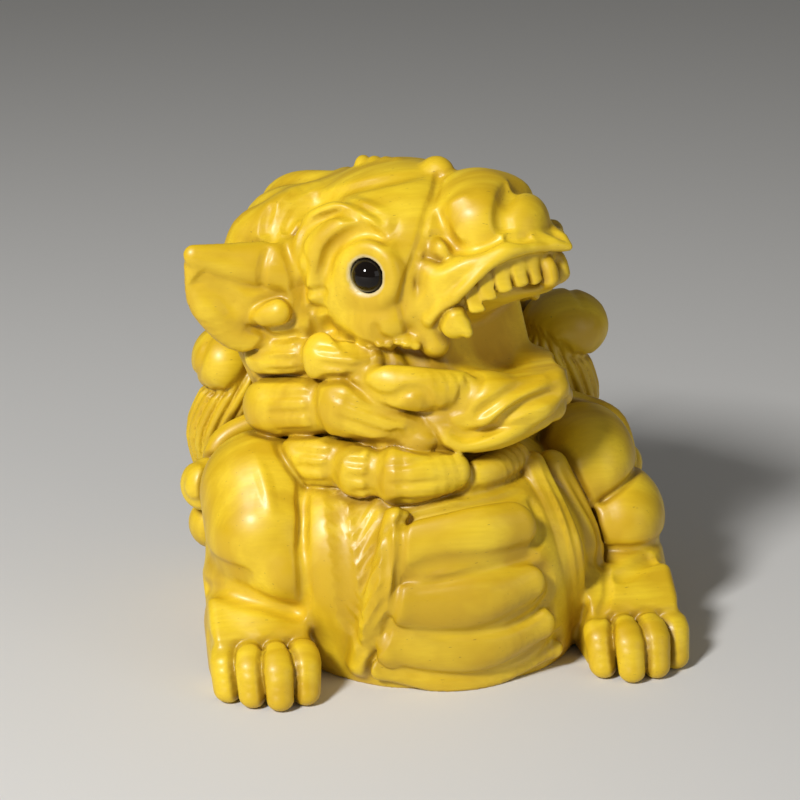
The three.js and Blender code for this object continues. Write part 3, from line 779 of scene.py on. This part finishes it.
def brows(clay):
    """The arch over each eye, a broad band behind it, and the pouch of the cheek below."""
    outer = [(-6.6, 9.9, 2), (-5.2, 9.9, 6.6), (-2.6, 9.1, 9.6), (1.4, 8.3, 10.5), (5.2, 8.2, 8.6)]
    inner = [(-4, 9.6, 3), (-3, 9.9, 6.6), (0.8, 9.3, 8.9), (4.8, 8.6, 8.0)]
    band = [(-6.4, 9.9, 6), (-6.9, 10.6, 2), (-6.4, 10.3, -1.6)]
    for head in HEAD_SIDES:
        clay.add(Roll(head, outer, [1.2, 1.4, 1.3, 1.1, 0.9]), 0.6)
        clay.add(Roll(head, inner, [1.8, 2.1, 1.9, 1.2]), 0.5, 0.2)
        clay.add(Roll(head, band, [1.1, 1.4, 1.2]), 0.3, 0.3)
        clay.add(Roll(head, [(0.5, 9.6, -2.6), (5.0, 8.9, -3.8)], [1.8, 0.9]), 0.3)


def eyelids(clay):
    """A round lid with a dish in it, and the raised seat of the bead."""
    forward, out, up = EYE_PLACE
    turns = np.linspace(0, 2 * math.pi, 25)
    for head in HEAD_SIDES:

        def ring(radius, rise):
            around = [(radius * math.cos(t), radius * math.sin(t)) for t in turns]
            return [(forward + ahead, out + rise, up + above) for ahead, above in around]

        clay.add(Roll(head, ring(2.85, -0.1), [0.8, 0.8]), 0.8)
        clay.cut(Egg(head, (forward, out + 1.6, up), (2.6, 1.3, 2.6)), 0.3)
        clay.add(Roll(head, ring(2.05, 0.3), [0.22, 0.22]), 0.1)


def sockets(clay):
    for head in HEAD_SIDES:
        clay.cut(Egg(head, EYE_PLACE, (SOCKET_RADIUS,) * 3), 0.05)


def crown(clay):
    """A knob on the forehead, and a crest of small lumps behind it."""
    clay.add(Egg(HEAD, (7.2, 0, 11.6), (2.0, 1.7, 1.9)), 0.6)
    for i in range(4):
        lump = (2.8 - i * 1.3, 0, 13.1 + 0.2 * i)
        clay.add(Egg(HEAD, lump, (0.9, 1.3, 1.0 + 0.1 * i)), 0.3)


def ears(clay):
    """A leaf folded lengthwise, hollow between its halves, with a nub before its opening."""
    lower = [(-13.8, 16.3, 8.4), (-14.0, 15.1, 4.6), (-12.8, 13.0, 0.6), (-10.2, 11.2, -0.8)]
    upper = [(-6.4, 10.2, 6.1), (-10.2, 13.2, 7.6), (-13.4, 16.6, 9.6)]
    sheet = [(-7.6, 10.4, 2.8), (-10.8, 12.7, 3.8), (-13.2, 15.6, 7.6)]
    nub = [(-10.0, 12.6, 1.8), (-7.8, 12.2, 1.8)]
    facing = (0.5, 0.85, 0.15)
    for head in HEAD_SIDES:
        clay.add(Egg(head, (-9.6, 10.6, 0.8), (3.2, 1.7, 2.8)), 0.5)
        clay.add(Roll(head, lower, [1.2, 2.3, 2.2, 1.6], (facing, 0.5)), 0.3)
        clay.add(Roll(head, sheet, [3.2, 2.9, 1.2], (facing, 0.4)), 0.8)
        clay.add(Roll(head, upper, [2.7, 2.1, 1.1], (facing, 0.6)), 0.5)
        clay.add(Roll(head, nub, [1.5, 1.6]), 0.12, 0.35)


def beard(clay):
    """Three rows of locks, each overlapping the one behind it, with a few combed lines."""
    locks = [
        ((-11.8, 10.8, -2.8), (-8, 11.0, -3.3), (-4.4, 10.6, -3.8), 2.5, 2.3),
        ((-4.2, 11.5, -3.9), (-2.2, 11.3, -4.5), (0.2, 10.3, -5.3), 2.9, 2.2),
        ((-12.2, 11.1, -8.5), (-8, 11.3, -8.8), (-4.8, 10.9, -9.2), 3.5, 3.4),
        ((-3.3, 11.7, -9.2), (0.5, 10.3, -11.8), (4.4, 8.3, -14.6), 3.7, 2.4),
        ((-9.4, 12.3, -14.2), (-6.6, 12.5, -14.7), (-3.6, 12.0, -15.3), 3.1, 2.9),
        ((-3.1, 12.7, -15.8), (-1.4, 12.3, -16.3), (0.4, 11.5, -16.8), 3.1, 2.8),
        ((1.2, 12.0, -17.1), (3.2, 10.9, -17.6), (5.5, 8.6, -18.0), 3.4, 2.5),
    ]
    for head in HEAD_SIDES:
        flat = ((0, 1, 0), 0.7)
        clay.add(Egg(head, (-4.6, 8.8, -8.2), (8.4, 3.2, 7.4)), 0.6)
        clay.add(Egg(head, (0.5, 7.6, -12.8), (6.5, 3.0, 5.0)), 0.6)
        clay.add(Egg(head, (-2.4, 9.6, -14.4), (8.2, 2.7, 3.2)), 0.6)
        for back, middle, front, wide, narrow in locks:
            line = np.array([back, middle, front])
            clay.add(Roll(head, line, [wide, (wide + narrow) / 2, narrow], flat), 0.1, 0.55)
            for share in (-0.5, 0.0, 0.45):
                stroke = line + (0, 1.4, share * wide)
                clay.score(head.points(stroke), 0.32, 0.45, (0.3, 0.35))


# The edge of the upper lip from the corner of the mouth to the tip of the snout
LIP = [
    (7.6, 8.8, -1.9), (9.6, 8.6, -0.7), (11.7, 8.4, 0.4), (13.3, 7.8, 1.5),
    (14.8, 6.9, 2.5), (16.4, 5.4, 3.1), (18.0, 3.2, 2.9), (19.7, 0.4, 2.0),
]


def lips(clay):
    """The upper lip over its gum, the mass at the corner, and the leaf and rim of the jaw."""
    flesh = [(5.6, 7.4, -0.8), (9.8, 7.0, 1.4), (13.2, 5.6, 2.9), (16.2, 3.2, 3.2), (17.8, 0.8, 2.6)]
    gum = [(8.6, 7.0, -2.0), (11.7, 6.6, -0.5), (14.2, 5.4, 0.8), (16.2, 3.4, 1.1), (17.4, 0.6, 0.8)]
    point = [(17.6, 1.6, 3.4), (19.2, 1.0, 2.6), (20.3, 0.1, 1.9)]
    leaf = [(-0.4, 11.3, -6.7), (2.0, 11.1, -7.8), (4.8, 9.8, -8.8), (8.4, 6.8, -10.2)]
    rim = [(5.0, 8.2, -9.2), (6.4, 7.8, -11.8), (10.0, 6.0, -12.9), (15.4, 0.2, -12.4)]
    roll = [(4.4, 8.2, -10.8), (6.2, 7.5, -14.3), (10.0, 5, -15.3), (14.4, 0.2, -14.6)]
    clay.add(Egg(HEAD, (8.0, 0, -13.3), (8.3, 7.4, 3.2)), 0.6)
    for head in HEAD_SIDES:
        flat = ((0, 1, 0), 0.6)
        clay.add(Roll(head, flesh, [2.2, 2.0, 1.8, 1.5, 1.1]), 0.8)
        clay.add(Roll(head, gum, [1.2, 1.2, 1.1, 1.0, 1.0]), 0.4)
        clay.add(Roll(head, LIP, [0.8, 0.75, 0.7, 0.65, 0.6, 0.6, 0.5, 0.4]), 0.8)
        clay.add(Roll(head, point, [0.9, 0.7, 0.3]), 0.4)
        clay.add(Roll(head, rim, [1.5, 1.4, 1.4, 1.2]), 0.6)
        clay.add(Roll(head, roll, [1.6, 1.8, 1.8, 1.5]), 0.5, 0.2)
        clay.add(Egg(head, (8.8, 5.2, -11.2), (4.2, 3.2, 2.6)), 1.0)
        clay.add(Roll(head, leaf, [2.0, 2.5, 2.5, 2.2], flat), 0.4, 0.4)
        clay.add(Egg(head, (6.4, 7.4, -2.6), (2.4, 1.6, 2.6)), 0.6)
        clay.add(Egg(head, (6.7, 7.4, -4.8), (1.5, 1.4, 1.4)), 0.9, 0.1)


def teeth(clay):
    """Chisel teeth under the upper lip, a blunt fang at its corner and a broad front tooth."""
    row = [
        ((12.2, 7.2, -0.6), 1.0), ((13.5, 6.5, 0.3), 1.05), ((14.9, 5.4, 0.7), 1.05),
        ((16.2, 4.1, 0.8), 1.0), ((17.2, 2.7, 0.6), 0.9),
    ]
    centres = np.array([place for place, _ in row])
    ways = np.gradient(centres, axis=0)
    for head in HEAD_SIDES:
        for (place, half), way in zip(row, ways):
            along = (way[0], way[1], 0)
            clay.add(Block(head, place, (half, 0.8, 1.6), along, 0.4), 0.05, 0.2)
        clay.add(Roll(head, [(18.0, 1.2, 0.8), (17.9, 1.2, -0.9)], [1.1, 1.25]), 0.1, 0.3)
        clay.add(Egg(head, (9.7, 8.0, -2.7), (1.9, 1.2, 1.7)), 0.25, 0.3)
        clay.add(Roll(head, [(10.2, 8.1, -2.2), (11.1, 8.1, -3.9)], [1.2, 0.6]), 0.3)


def face_lines(clay):
    """The folds and rims of the face, the ears and the jaws, and the rough edge under the cheek.

    Each line has a width, a depth, which is below nought for a ridge, and where it fades.
    """
    lines = [
        (FACE_EDGE, 0.35, 0.4, (0, 0.1)),
        (DOME_FOLD, 0.65, 1.0),
        (EYE_FOLD, 0.6, 1.2),
        (BROW_HOLLOW, 0.45, 0.7),
        (BROW_RIM, 0.45, -0.8),
        (ABOVE_BROW, 0.5, 0.6),
        (BAND_BACK, 0.45, 0.9),
        (BAND_FRONT, 0.45, 0.8),
        *[(line, 0.35, 0.7) for line in TEMPLE_STEPS],
        (POUCH_FOLD, 0.5, 1.2),
        (CHEEK_FOLD, 0.45, 0.8),
        (CHEEK_LOW, 0.4, 0.5),
        *[(line, 0.5, 1.3, (0.05, 0.3)) for line in HAIR_PARTINGS],
        (NOSE_UNDER, 0.55, 1.3),
        (NOSE_FOLD, 0.5, -0.25),
        (NOSTRIL, 0.7, 1.5, (0.1, 0.1)),
        (WING_UNDER, 0.5, 0.9),
        (SNOUT_RIDGE, 0.8, -0.5),
        (LEAF_LOW, 0.5, 0.8),
        (LIP_LOWER, 0.7, -0.7),
        (LIP_UPPER, 0.6, -0.8),
        (LIP_GROOVE, 0.55, 1.5),
        (RIM_HOLLOW, 0.55, 0.9),
        (EAR_FOLD, 0.4, 0.5),
        (EAR_HOLLOW, 1.0, 0.7, (0.05, 0.3)),
        (NUB_FOLD, 0.4, 0.6),
    ]
    for line, *stroke in lines:
        trace(clay, line, *stroke)
    rough = seen(clay, ROUGH_EDGE)
    for i, place in enumerate(rough):
        clay.add(Egg(WORLD, place, (0.5, 0.4, 0.25 + 0.1 * (i % 3))), 0.3)


def floor_cut(clay):
    _, (_, _, z) = clay.near(clay.low, clay.low + clay.shape * STEP)
    clay.field = np.maximum(clay.field, -z)


def carve():
    """The head and the body are shaped apart, and then joined."""
    low, high = (np.array(corner) / MM for corner in cad_box)
    head, body = Clay(low - ROOM, high + ROOM), Clay(low - ROOM, high + ROOM)
    of_head = (face, muzzle, jaw, back_hair, mouth, brows, eyelids, crown, ears, beard, lips, teeth)
    for work in of_head:
        work(head)
    for work in (torso, belly_plates, belly_folds, forelegs, hind_legs, collar, spine_and_tail):
        work(body)
    face_lines(head)
    body_lines(body)
    sockets(head)
    head.join(body, 0.3, 0.3)
    floor_cut(head)
    return head


def skin(clay):
    """The clay's surface: a vertex in each cell that the surface crosses, joined in squares."""
    field = clay.field
    wood = field < 0
    counts = np.array(field.shape) - 1
    corners = [(i, j, k) for i in (0, 1) for j in (0, 1) for k in (0, 1)]

    def shifted(grid, corner):
        return grid[tuple(slice(c, c + n) for c, n in zip(corner, counts))]

    filled = sum(shifted(wood, corner).astype(np.int8) for corner in corners)
    cells = np.argwhere((filled > 0) & (filled < 8))
    number = np.full(tuple(counts), -1, np.int32)
    number[tuple(cells.T)] = np.arange(len(cells))

    total = np.zeros(cells.shape)
    crossings = np.zeros(len(cells))
    for corner in corners:
        for axis in range(3):
            if corner[axis]:
                continue
            other = np.array(corner)
            other[axis] = 1
            a = field[tuple((cells + corner).T)]
            b = field[tuple((cells + other).T)]
            crossed = (a < 0) != (b < 0)
            share = np.where(crossed, a / np.where(crossed, a - b, 1), 0)
            place = np.tile(np.array(corner, float), (len(cells), 1))
            place[:, axis] = share
            total += place * crossed[:, None]
            crossings += crossed
    vertices = clay.low + (cells + total / crossings[:, None]) * STEP

    squares = []
    for axis in range(3):
        u, v = (axis + 1) % 3, (axis + 2) % 3
        first = [slice(None)] * 3
        second = [slice(None)] * 3
        first[axis], second[axis] = slice(0, -1), slice(1, None)
        changes = np.argwhere(wood[tuple(first)] != wood[tuple(second)])
        changes = changes[(changes[:, u] > 0) & (changes[:, v] > 0)]
        changes = changes[(changes[:, u] < counts[u]) & (changes[:, v] < counts[v])]
        ring = []
        for du, dv in ((1, 1), (0, 1), (0, 0), (1, 0)):
            cell = changes.copy()
            cell[:, u] -= du
            cell[:, v] -= dv
            ring.append(number[tuple(cell.T)])
        ring = np.stack(ring, axis=1)
        outward = wood[tuple(changes.T)]
        squares.append(np.where(outward[:, None], ring, ring[:, ::-1]))
    return vertices, np.vstack(squares)


def figure_mesh(clay):
    """The clay's surface as one smooth mesh, nowhere below the solids' lowest place."""
    vertices, squares = skin(clay)
    vertices = clay.settle(vertices, turns=2, most=0.5 * STEP)
    vertices[:, 2] = np.maximum(vertices[:, 2], cad_box[0][2] / MM)
    mesh = bpy.data.meshes.new("figure")
    mesh.from_pydata((vertices * MM).tolist(), [], squares.tolist())
    mesh.validate()
    figure = link("boxwood_figure", mesh)
    thin_out(figure)
    smooth(figure.data)
    finish_mesh(figure.data, clay)
    return figure


def finish_mesh(mesh, clay):
    """Normals from the clay, how hollow each place is for the painted shade and dust in the hollows, and
    how near it is to a bead.
    """
    places = np.empty(len(mesh.vertices) * 3)
    mesh.vertices.foreach_get("co", places)
    places = places.reshape(-1, 3) / MM
    slopes = []
    for axis in np.eye(3) * 0.8 * STEP:
        slopes.append(clay.sample(places + axis)[0] - clay.sample(places - axis)[0])
    normals = np.stack(slopes, axis=1)
    normals /= np.linalg.norm(normals, axis=1)[:, None] + 1e-9
    mesh.normals_split_custom_set_from_vertices(normals.tolist())

    # How shut in each place is: the wood's colour is darkened there as painted shade, with some polishing
    # dust.
    shut_in = np.zeros(len(places))
    for away in (0.4, 0.8, 1.6):
        open_air = clay.sample(places + away * normals)[0] / away
        shut_in += np.clip(1 - open_air, 0, 1) / 3
    rim = np.zeros(len(places))
    for head in HEAD_SIDES:
        away = np.linalg.norm(places - head.points(EYE_PLACE), axis=1)
        rim = np.maximum(rim, np.clip((RIM_RADIUS - away) / RIM_FADE, 0, 1))
    for name, values in (("hollow", shut_in), ("bead_rim", rim)):
        layer = mesh.attributes.new(name, "FLOAT", "POINT")
        layer.data.foreach_set("value", values.astype(np.float32))


def thin_out(figure):
    """Brings the mesh down to its number of triangles, keeping them where it curves."""
    triangles = sum(len(p.vertices) - 2 for p in figure.data.polygons)
    modifier = figure.modifiers.new("thin", "DECIMATE")
    modifier.ratio = min(1.0, TRIANGLES / triangles)
    modifier.use_collapse_triangulate = True
    graph = bpy.context.evaluated_depsgraph_get()
    thinned = bpy.data.meshes.new_from_object(figure.evaluated_get(graph))
    for vertex in thinned.vertices:
        vertex.co.z = max(vertex.co.z, cad_box[0][2])
    figure.modifiers.clear()
    figure.data = thinned


def link(name, data):
    thing = bpy.data.objects.new(name, data)
    bpy.context.scene.collection.objects.link(thing)
    return thing


def smooth(mesh):
    mesh.polygons.foreach_set("use_smooth", [True] * len(mesh.polygons))


class Nodes:
    """Short hand for building a material's nodes."""

    def __init__(self, name):
        self.material = bpy.data.materials.new(name)
        self.material.use_nodes = True
        self.tree = self.material.node_tree
        self.shader = self.tree.nodes["Principled BSDF"]

    def add(self, kind, inputs=None, **settings):
        node = self.tree.nodes.new("ShaderNode" + kind)
        for key, value in settings.items():
            setattr(node, key, value)
        for key, value in (inputs or {}).items():
            self.feed(node.inputs[key], value)
        return node

    def feed(self, socket, value):
        if isinstance(value, bpy.types.NodeSocket):
            self.tree.links.new(value, socket)
        else:
            socket.default_value = value

    def surface(self, inputs):
        """Sets or links the shader's own sockets."""
        for name, value in inputs.items():
            self.feed(self.shader.inputs[name], value)

    def attribute(self, name):
        return self.add("Attribute", attribute_name=name).outputs["Fac"]

    def mix(self, share, a, b):
        node = self.add("Mix", data_type="RGBA")
        self.feed(node.inputs[0], share)
        self.feed(node.inputs[6], a)
        self.feed(node.inputs[7], b)
        return node.outputs[2]

    def range(self, value, low, high, to_low=0.0, to_high=1.0):
        inputs = {0: value, 1: low, 2: high, 3: to_low, 4: to_high}
        return self.add("MapRange", inputs).outputs[0]

    def noise(self, scale, detail):
        """Noise with a scale along each axis, in changes per millimetre."""
        place = self.add("TexCoord").outputs["Object"]
        scaled = self.add("Mapping", {"Vector": place, "Scale": [s / MM for s in scale]})
        inputs = {"Vector": scaled.outputs[0], "Scale": 1.0, "Detail": detail}
        return self.add("TexNoise", inputs).outputs[0]


def boxwood():
    """Yellow boxwood, polished: fine grain, soft bands and small dark pores, with painted shade and
    polishing dust darkening the hollows.
    """
    nodes = Nodes("boxwood")
    light, deep, pore = (0.80, 0.56, 0.02, 1), (0.61, 0.38, 0.006, 1), (0.12, 0.06, 0.01, 1)
    dust_and_shade, bare = (0.24, 0.115, 0.006, 1), (0.72, 0.62, 0.38, 1)
    bands = nodes.range(nodes.noise((0.1, 0.45, 0.12), 3), 0.38, 0.62)
    colour = nodes.mix(bands, light, deep)
    grain = nodes.range(nodes.noise((0.12, 3.0, 3.0), 3), 0.35, 0.7, 0.0, 0.3)
    colour = nodes.mix(grain, colour, deep)
    pores = nodes.range(nodes.noise((1.2, 5.0, 5.0), 1), 0.74, 0.79, 0.0, 0.45)
    colour = nodes.mix(pores, colour, pore)
    hollow = nodes.attribute("hollow")
    # Painted shade, with some polishing dust: the more shut in a place is, the darker its wood.
    colour = nodes.mix(nodes.range(hollow, 0.12, 0.7, 0.0, 0.68), colour, dust_and_shade)
    rim = nodes.attribute("bead_rim")
    colour = nodes.mix(nodes.range(rim, 0.2, 1.0, 0.0, 0.7), colour, bare)
    polish = nodes.range(nodes.noise((0.3, 0.8, 0.8), 3), 0.3, 0.7, 0.38, 0.5)
    bump = nodes.add("Bump", {"Strength": 0.1, "Distance": 0.0001, "Height": grain}).outputs[0]
    nodes.surface({"Base Color": colour, "Roughness": polish, "Normal": bump})
    nodes.surface({"Coat Weight": 0.08, "Coat Roughness": 0.2})
    return nodes.material


def bead_glass():
    nodes = Nodes("eye_bead")
    black = (0.006, 0.004, 0.003, 1)
    nodes.surface({"Base Color": black, "Roughness": 0.06, "Specular IOR Level": 0.25})
    return nodes.material


def beads():
    glass = bead_glass()
    for node in ("right_eye", "left_eye"):
        low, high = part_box(node)
        radius = (high - low).x / 2
        bpy.ops.mesh.primitive_uv_sphere_add(
            segments=48, ring_count=24, radius=radius, location=(low + high) / 2
        )
        bead = bpy.context.object
        bead.name = node + "_bead"
        smooth(bead.data)
        bead.data.materials.append(glass)
        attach(bead, "root")
        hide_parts(node)


def stage():
    """A pale floor and soft studio light, with the key above and before the figure's right."""
    bpy.ops.mesh.primitive_plane_add(size=3)
    floor = bpy.context.object
    floor.name = "floor"
    nodes = Nodes("floor")
    nodes.surface({"Base Color": (0.7, 0.69, 0.67, 1), "Roughness": 0.85})
    floor.data.materials.append(nodes.material)

    world = bpy.data.worlds.new("studio")
    world.use_nodes = True
    background = world.node_tree.nodes["Background"]
    background.inputs["Color"].default_value = (0.8, 0.79, 0.76, 1)
    background.inputs["Strength"].default_value = 0.16
    bpy.context.scene.world = world
    for name, place, size, power in [
        ("key", (-0.26, -0.27, 0.3), 0.08, 2.25),
        ("fill", (0.3, -0.35, 0.15), 0.25, 0.22),
    ]:
        light = bpy.data.lights.new(name, "AREA")
        light.size, light.energy = size, power
        lamp = link(name, light)
        lamp.location = place
        aim = Vector((0, 0, 0.025)) - Vector(place)
        lamp.rotation_euler = aim.to_track_quat("-Z", "Y").to_euler()


def camera():
    look, _, _ = camera_axes()
    data = bpy.data.cameras.new("camera")
    data.sensor_width = SENSOR
    data.lens = SENSOR * CAMERA_AWAY / PICTURE_WIDE
    data.clip_start = 0.01
    seat = link("camera", data)
    seat.location = Vector((CAMERA_AIM - look * CAMERA_AWAY) * MM)
    seat.rotation_euler = Vector(look).to_track_quat("-Z", "Y").to_euler()
    bpy.context.scene.camera = seat


bpy.context.scene.view_settings.view_transform = "Standard"
camera()
stage()
figure = figure_mesh(carve())
figure.data.materials.append(boxwood())
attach(figure, "root")
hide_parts("carved_figure")
beads()
